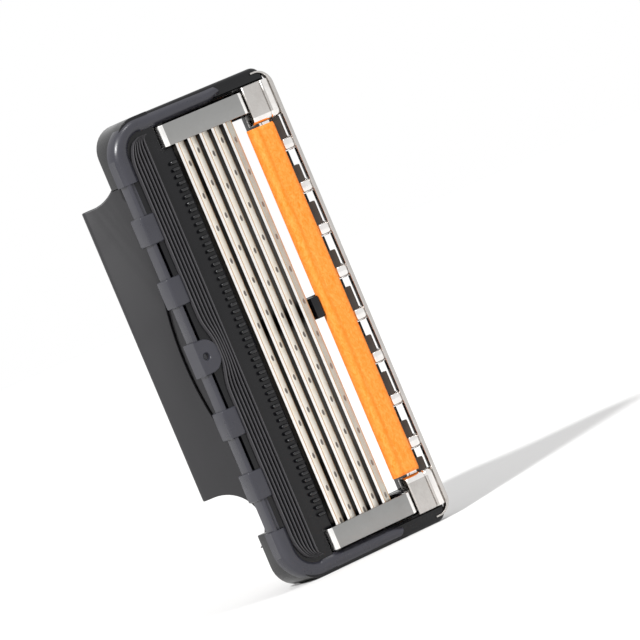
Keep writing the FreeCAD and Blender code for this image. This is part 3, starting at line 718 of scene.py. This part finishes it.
for number in range(BLADE_COUNT):
    last = number == BLADE_COUNT - 1
    outline = on_blade(number, BLADE_OUTLINE[:, 0], BLADE_OUTLINE[:, 1])
    points, faces = strip_along(outline, BLADE_ENDS)
    blade = mesh_piece(f"blade_{number + 1}_strip", points, faces, fifth_steel if last else blade_steel)
    blade.data.materials.append(ground_steel)
    blade.data.materials.append(border_steel)
    centre = np.array([p.center for p in blade.data.polygons]) / MM
    along = (centre[:, 0] - (FIRST_EDGE + BLADE_PITCH * number)) / math.cos(BLADE_TILT)
    # a brown border lies behind the ground edge and along the back
    border = ((along > 0.3) & (along < 0.38)) | (along > 1.1)
    part = np.where(border, 2, np.where(along < 0.28, 1, 0))
    blade.data.polygons.foreach_set("material_index", part.astype(np.int32))
    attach(blade, f"blade_{number + 1}_assembly")
    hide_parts(f"blade_{number + 1}")
    first = WELD_START + 0.75 * (number % 2) + 0.35 * last
    row = np.arange(first, BLADE_ENDS[1] - 1.2, WELD_PITCH)
    welds = mesh_piece(f"blade_{number + 1}_welds", *join_parts([weld(number, z) for z in row]), weld_steel)
    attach(welds, f"blade_{number + 1}_assembly")

# the supports are painted nearly black, painted shade in the gaps between the blades
support_steel = sheet_metal(
    "support_steel", (0.07, 0.06, 0.05), (0.03, 0.025, 0.02), 0.4, (0.35, 0.5), stain_size=1200.0,
)
for number in range(BLADE_COUNT):
    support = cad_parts[f"blade_support_{number + 1}"]
    support.data.materials.clear()
    support.data.materials.append(support_steel)
    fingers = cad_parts[f"spring_fingers_{number + 1}"]
    fingers.data.materials.clear()
    fingers.data.materials.append(housing_black)


# ---- clips ------------------------------------------------------------------------------------------
# Each end of the blades is held by a folded aluminium band. It comes up through a slot beside the
# comb, crosses the face, and goes down into a slot beside the cap.
CLIP_WIDE, CLIP_THICK, CLIP_INSET = 1.9, 0.25, 1.6
clip_metal = sheet_metal(
    "clip_aluminium", (0.30, 0.30, 0.295), (0.25, 0.245, 0.235), 0.35, (0.28, 0.4), bump=0.003,
    stain_size=500.0, line=(5000.0, 0.6),
)
# the bends of each band take a brighter, glossier copy of the aluminium, a painted highlight on the folds
clip_fold_highlight = sheet_metal(
    "clip_fold_painted_highlight", (0.88, 0.87, 0.85), (0.7, 0.68, 0.66), 0.3, (0.18, 0.3), line=(6000.0, 0.3),
)


def fold_path(corners, radius, count=8):
    """A path in XY through corners, each inner one rounded on a circle of the given radius."""
    corners = np.array(corners, float)
    path = [corners[:1]]
    for before, corner, after in zip(corners[:-2], corners[1:-1], corners[2:]):
        back, on = before - corner, after - corner
        back, on = back / np.linalg.norm(back), on / np.linalg.norm(on)
        t = np.linspace(0, 1, count)[:, None]
        a, b = corner + back * radius, corner + on * radius
        path.append((1 - t) ** 2 * a + 2 * t * (1 - t) * corner + t**2 * b)
    path.append(corners[-1:])
    return np.concatenate(path)


def folded_band(path, low, wide, thick, edge):
    """A band of sheet along a path in XY, from z = low to low + wide, with its long edges rounded.

    The section is a thin rectangle with quarter-round corners, set square to the path.
    """
    run = np.gradient(path, axis=0)
    run /= np.linalg.norm(run, axis=1, keepdims=True)
    normal = np.stack((-run[:, 1], run[:, 0]), 1)
    turn = np.linspace(0, math.pi / 2, 4)
    quarter = np.stack((np.cos(turn), np.sin(turn)), 1) * edge
    h, w = thick / 2, wide / 2
    profile = np.concatenate([
        (quarter @ np.array([[c, s], [-s, c]])) + centre for (c, s), centre in zip(
            ((1, 0), (0, 1), (-1, 0), (0, -1)),
            ((w - edge, h - edge), (-w + edge, h - edge), (-w + edge, -h + edge), (w - edge, -h + edge)),
        )
    ])
    xy = path[:, None, :] + normal[:, None, :] * profile[None, :, 1:2]
    z = np.broadcast_to(low + w + profile[None, :, :1], (len(path), len(profile), 1))
    return tube(np.concatenate((xy, z), -1))


CLIP_GAP, CLIP_TURN = 0.03, 0.34
CLIP_FACE = EDGE_LEVEL - CLIP_GAP - CLIP_THICK / 2
CLIP_BACK = HOUSING_BACK + CLIP_GAP + CLIP_THICK / 2
GUARD_LEG, CAP_LEG = -3.8 + CLIP_THICK / 2, 5.05 - CLIP_THICK / 2
clip_path = fold_path([
    (GUARD_LEG + 0.6, CLIP_BACK), (GUARD_LEG, CLIP_BACK), (GUARD_LEG, CLIP_FACE), (CAP_LEG, CLIP_FACE),
    (CAP_LEG, CLIP_BACK), (CAP_LEG - 0.6, CLIP_BACK),
], CLIP_TURN)
for end, low in (("lower", CLIP_INSET), ("upper", HOUSING_LONG - CLIP_INSET - CLIP_WIDE)):
    band = folded_band(clip_path, low, CLIP_WIDE, CLIP_THICK, 0.07)
    clip = mesh_piece(f"clip_{end}_band", *band, clip_metal)
    clip.data.materials.append(clip_fold_highlight)
    middles = np.array([p.center for p in clip.data.polygons]) / MM
    # faces at the bends get the painted highlight
    fold_highlight = (middles[:, 0] < GUARD_LEG + 0.42) | (middles[:, 0] > CAP_LEG - 0.42)
    clip.data.polygons.foreach_set("material_index", fold_highlight.astype(np.int32))
    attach(clip, "blade_unit")
    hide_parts(f"clip_{end}")


# ---- cap frame --------------------------------------------------------------------------------------
# The cap is edged by a plated frame: a block at each end, a thin rail along the outside, and a row of
# rounded bridges between the rail and the strip, with rinse openings between them.
cap_silver = sheet_metal(
    "cap_silver", (0.52, 0.50, 0.48), (0.38, 0.35, 0.33), 0.35, (0.14, 0.26), bump=0.0015,
    stain_size=600.0, line=(5000.0, 0.5),
)
# bright chrome for the ladder, also used on the end blocks as a painted highlight
cap_chrome_and_highlight = sheet_metal(
    "cap_chrome_and_highlight", (0.82, 0.80, 0.78), (0.5, 0.44, 0.4), 0.3, (0.06, 0.15), bump=0.001, stain_size=1500.0,
)
CAP_OUT, RAIL_INSET, RAIL_END = 8.65, 0.2, 0.5
RAIL_TURN, RAIL_START = 1.25, 6.8


def rail_line(count=14):
    """The rail's path in XZ: up one end's cap corner, along the outside, and round the other end."""
    turn = np.linspace(0, math.pi / 2, count)
    r = RAIL_TURN
    low = np.stack((CAP_OUT - RAIL_INSET - r + r * np.sin(turn), RAIL_END + r - r * np.cos(turn)), 1)
    high = np.stack((low[::-1, 0], HOUSING_LONG - low[::-1, 1]), 1)
    low = np.concatenate(([[RAIL_START, RAIL_END]], low))
    high = np.concatenate((high, [[RAIL_START, HOUSING_LONG - RAIL_END]]))
    return np.concatenate((low, high))


def rail_tube(line, half, top, bottom):
    """A rounded bar along a line in XZ, its section a rounded rectangle. half is one per point."""
    run = np.gradient(line, axis=0)
    run /= np.linalg.norm(run, axis=1, keepdims=True)
    side = np.stack((run[:, 1], -run[:, 0]), 1)
    turn = np.linspace(0, 2 * math.pi, 24, endpoint=False)
    c, s = np.cos(turn), np.sin(turn)
    u = np.sign(c) * np.abs(c) ** 0.55
    v = (top + bottom) / 2 + (bottom - top) / 2 * np.sign(s) * np.abs(s) ** 0.55
    xz = line[:, None, :] + side[:, None, :] * u[None, :, None] * half[:, None, None]
    return tube(np.stack((xz[..., 0], np.broadcast_to(v[None], xz.shape[:2]), xz[..., 1]), -1))


# the rail keeps one width along the outside and thins round the corners to its ends
rail_path = rail_line()
from_end = np.minimum(rail_path[:, 1], HOUSING_LONG - rail_path[:, 1])
rail_half = np.interp(from_end, [RAIL_END, RAIL_END + RAIL_TURN], [0.1, 0.21])
rail = mesh_piece("cap_rail", *rail_tube(rail_path, rail_half, -2.32, -1.70), cap_silver)
rail_foot = rounded_block((6.3, -1.74, 1.35), (7.29, -1.21, HOUSING_LONG - 1.35), 0.05)
bridges = []
for middle in rinse_bars:
    bridges.append(rounded_block((7.15, -2.28, middle - 0.52), (8.3, -1.3, middle + 0.52), 0.3, count=5))
    bridges.append(rounded_block((7.2, -1.72, middle - 0.62), (8.3, -1.22, middle + 0.62), 0.08))
# under each opening the housing fills the part towards the lower end
posts = []
for number, middle in enumerate(rinse_bars[:-1]):
    low = middle + 0.4
    long = 1.6 if number % 2 else 2.15
    posts.append(rounded_block((7.22, -2.02, low), (8.02, -1.1, low + long), 0.12))
post_brown = plastic("post_brown", (0.03, 0.018, 0.011), (0.14, 0.26), 0.002)
ladder_posts = mesh_piece("cap_posts", *join_parts(posts), post_brown)
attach(ladder_posts, "blade_unit")
ladder = mesh_piece("cap_ladder", *join_parts([rail_foot, *bridges]), cap_chrome_and_highlight)
for part in (rail, ladder):
    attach(part, "blade_unit")
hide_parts("cap_frame")

BLOCK_START, BLOCK_END = 1.3, 4.7
BLOCK_TOP, BLOCK_FOOT = -2.55, -1.25
BLOCK_FALL, FOLD_POINTS = 0.6, 8
BLOCK_PATH = fold_path(
    [(5.27, BLOCK_FOOT), (5.27, BLOCK_TOP), (7.85, BLOCK_TOP), (8.3, -2.1), (8.3, BLOCK_FOOT)], 0.3,
    count=FOLD_POINTS,
)


def cap_block(outer, inner):
    """One end block: a folded profile carried along Z from its outer end to the one at the strip.

    The top is level with a narrow groove and a soft roll beside the rail, both exp(-d**2) of the
    distance from their middles. The inner end falls away on a quarter circle.
    """
    fall = np.linspace(0, math.pi / 2, 9)
    z_in = BLOCK_FALL * (1 - np.sin(fall))
    drop = BLOCK_FALL * (1 - np.cos(fall))
    sign = 1 if inner > outer else -1
    flat = np.linspace(5.57, 7.55, 40)[1:-1]
    top = np.column_stack((flat, BLOCK_TOP + 0.14 * np.exp(-(((flat - 7.18) / 0.07) ** 2))))
    # the top's points go in after the start of the path and its first fold
    profile = np.insert(BLOCK_PATH, 1 + FOLD_POINTS, top, axis=0)
    roll = np.exp(-(((profile[:, 0] - 7.75) / 0.32) ** 2)) * 0.05
    profile[:, 1] -= np.where(profile[:, 1] < -2.2, roll, 0)
    rings = []
    for z, d in zip([outer, outer + sign * 0.06, *(inner - sign * z_in)], [0.06, 0.0, *drop]):
        lowered = profile.copy()
        lowered[:, 1] = np.minimum(lowered[:, 1] + d, BLOCK_FOOT)
        rings.append(np.column_stack((lowered, np.full(len(lowered), z))))
    return tube(np.stack(rings))


blocks = join_parts([
    cap_block(BLOCK_START, BLOCK_END), cap_block(HOUSING_LONG - BLOCK_START, HOUSING_LONG - BLOCK_END),
])
cap_blocks = mesh_piece("cap_end_blocks", *blocks, cap_silver)
cap_blocks.data.materials.append(cap_chrome_and_highlight)
block_middles = np.array([p.center for p in cap_blocks.data.polygons]) / MM
from_end = np.minimum(block_middles[:, 2], HOUSING_LONG - block_middles[:, 2])
# the end at the strip and the side at the rail take the bright chrome, a painted highlight
highlight_faces = (from_end > 4.12) | (block_middles[:, 0] > 7.42)
cap_blocks.data.polygons.foreach_set("material_index", highlight_faces.astype(np.int32))
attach(cap_blocks, "blade_unit")


# ---- lubrication strip ------------------------------------------------------------------------------
# The strip is a water-soluble polymer, extruded and cut to length, and glued into the cap. Its face is
# slightly crowned, soft to the touch and mottled, with a shallow fold line painted darker as shade.
STRIP_START, STRIP_WIDE = 4.56, 2.62
STRIP_ENDS = (4.92, 37.08)
STRIP_SEAT, STRIP_UNDER = -1.76, -1.751


def strip_surface(across=28, along=160):
    """Closed rings round the strip: a crowned face with a shallow fold line, thin waves, square ends.

    Height over the seat is a superellipse across the width, less a narrow groove a third of the way
    over, plus two slow sine waves along Z.
    """
    t = np.linspace(0, 1, across)
    z = np.linspace(*STRIP_ENDS, along)
    x = STRIP_START + STRIP_WIDE * t
    rise = 0.80 * (1 - np.abs(2 * t - 1) ** 7) ** 0.5
    tilt = 0.025 * (1 - np.exp(-((t - 0.36) / 0.05) ** 2)) * np.where(t < 0.36, 1 - t, 1.0)
    across_t, along_z = t[None, :], z[:, None]
    waves = 0.003 * np.sin(0.9 * along_z + 2.0 * across_t) + 0.002 * np.sin(2.3 * along_z - 4 * across_t)
    edge_soft = np.minimum(1, (np.minimum(z - STRIP_ENDS[0], STRIP_ENDS[1] - z) / 0.15) + 0.8)[:, None]
    top = STRIP_SEAT - (rise[None, :] + (tilt[None, :] + waves) * (rise[None, :] > 0.3)) * edge_soft
    face = np.stack((np.broadcast_to(x[None], top.shape), top, np.broadcast_to(z[:, None], top.shape)), -1)
    under = face[:, ::-1][:, [0, -1]].copy()
    under[..., 1] = STRIP_UNDER
    return tube(np.concatenate((face, under), axis=1))


def strip_material():
    """Orange polymer: three tones mixed by stretched noise, a fold line of painted shade, soft bump and
    sheen.
    """
    material = plain_material("strip_orange", (0.95, 0.36, 0.05), 0.55)
    nodes, links = material.node_tree.nodes, material.node_tree.links
    shader = nodes["Principled BSDF"]
    shader.inputs["Specular IOR Level"].default_value = 0.15
    place = nodes.new("ShaderNodeTexCoord")
    stretch = nodes.new("ShaderNodeMapping")
    stretch.inputs["Scale"].default_value = (1.0, 1.0, 0.6)
    links.new(place.outputs["Object"], stretch.inputs["Vector"])
    mottle = nodes.new("ShaderNodeTexNoise")
    mottle.inputs["Scale"].default_value = 4200.0
    mottle.inputs["Detail"].default_value = 7.0
    mottle.inputs["Roughness"].default_value = 0.7
    mottle.inputs["Distortion"].default_value = 0.8
    links.new(stretch.outputs["Vector"], mottle.inputs["Vector"])
    tones = nodes.new("ShaderNodeValToRGB")
    tones.color_ramp.elements[0].position = 0.34
    tones.color_ramp.elements[0].color = (0.90, 0.21, 0.014, 1)
    tones.color_ramp.elements[1].position = 0.66
    tones.color_ramp.elements[1].color = (0.95, 0.34, 0.072, 1)
    links.new(mottle.outputs["Fac"], tones.inputs["Fac"])
    across = nodes.new("ShaderNodeSeparateXYZ")
    links.new(place.outputs["Object"], across.inputs["Vector"])
    wobble = nodes.new("ShaderNodeTexNoise")
    wobble.inputs["Scale"].default_value = 250.0
    links.new(place.outputs["Object"], wobble.inputs["Vector"])
    moved = nodes.new("ShaderNodeMath")
    moved.operation = "MULTIPLY_ADD"
    moved.inputs[1].default_value = 0.0006
    links.new(wobble.outputs["Fac"], moved.inputs[0])
    links.new(across.outputs["X"], moved.inputs[2])
    band = nodes.new("ShaderNodeMapRange")
    band.interpolation_type = "SMOOTHSTEP"
    band.inputs["From Min"].default_value = (STRIP_START + 0.62) * MM
    band.inputs["From Max"].default_value = (STRIP_START + 1.25) * MM
    links.new(moved.outputs[0], band.inputs["Value"])
    ridge = nodes.new("ShaderNodeMath")
    ridge.operation = "PINGPONG"
    ridge.inputs[1].default_value = 0.5
    links.new(band.outputs["Result"], ridge.inputs[0])
    # a darker line of painted shade along the groove that strip_surface cuts into the face
    crease_shade = nodes.new("ShaderNodeMix")
    crease_shade.data_type = "RGBA"
    crease_shade.inputs["B"].default_value = (0.90, 0.17, 0.003, 1)
    links.new(ridge.outputs[0], crease_shade.inputs["Factor"])
    links.new(tones.outputs["Color"], crease_shade.inputs["A"])
    links.new(crease_shade.outputs["Result"], shader.inputs["Base Color"])
    relief = nodes.new("ShaderNodeBump")
    relief.inputs["Distance"].default_value = 0.014 * MM
    relief.inputs["Strength"].default_value = 0.7
    links.new(mottle.outputs["Fac"], relief.inputs["Height"])
    links.new(relief.outputs["Normal"], shader.inputs["Normal"])
    return material


strip = mesh_piece("lubrication_strip_face", *strip_surface(), strip_material())
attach(strip, "blade_unit")
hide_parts("lubrication_strip")


# ---- trimmer ----------------------------------------------------------------------------------------
# A single blade for edging sits behind the cap on its own carrier, which snaps to the cap bar.
carrier = moulded_copy("trimmer_carrier", "trimmer_carrier_moulding", housing_black, 0.1)
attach(carrier, "blade_unit")
trimmer_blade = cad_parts["trimmer_blade"]
trimmer_blade.data.materials.clear()
trimmer_blade.data.materials.append(fifth_steel)
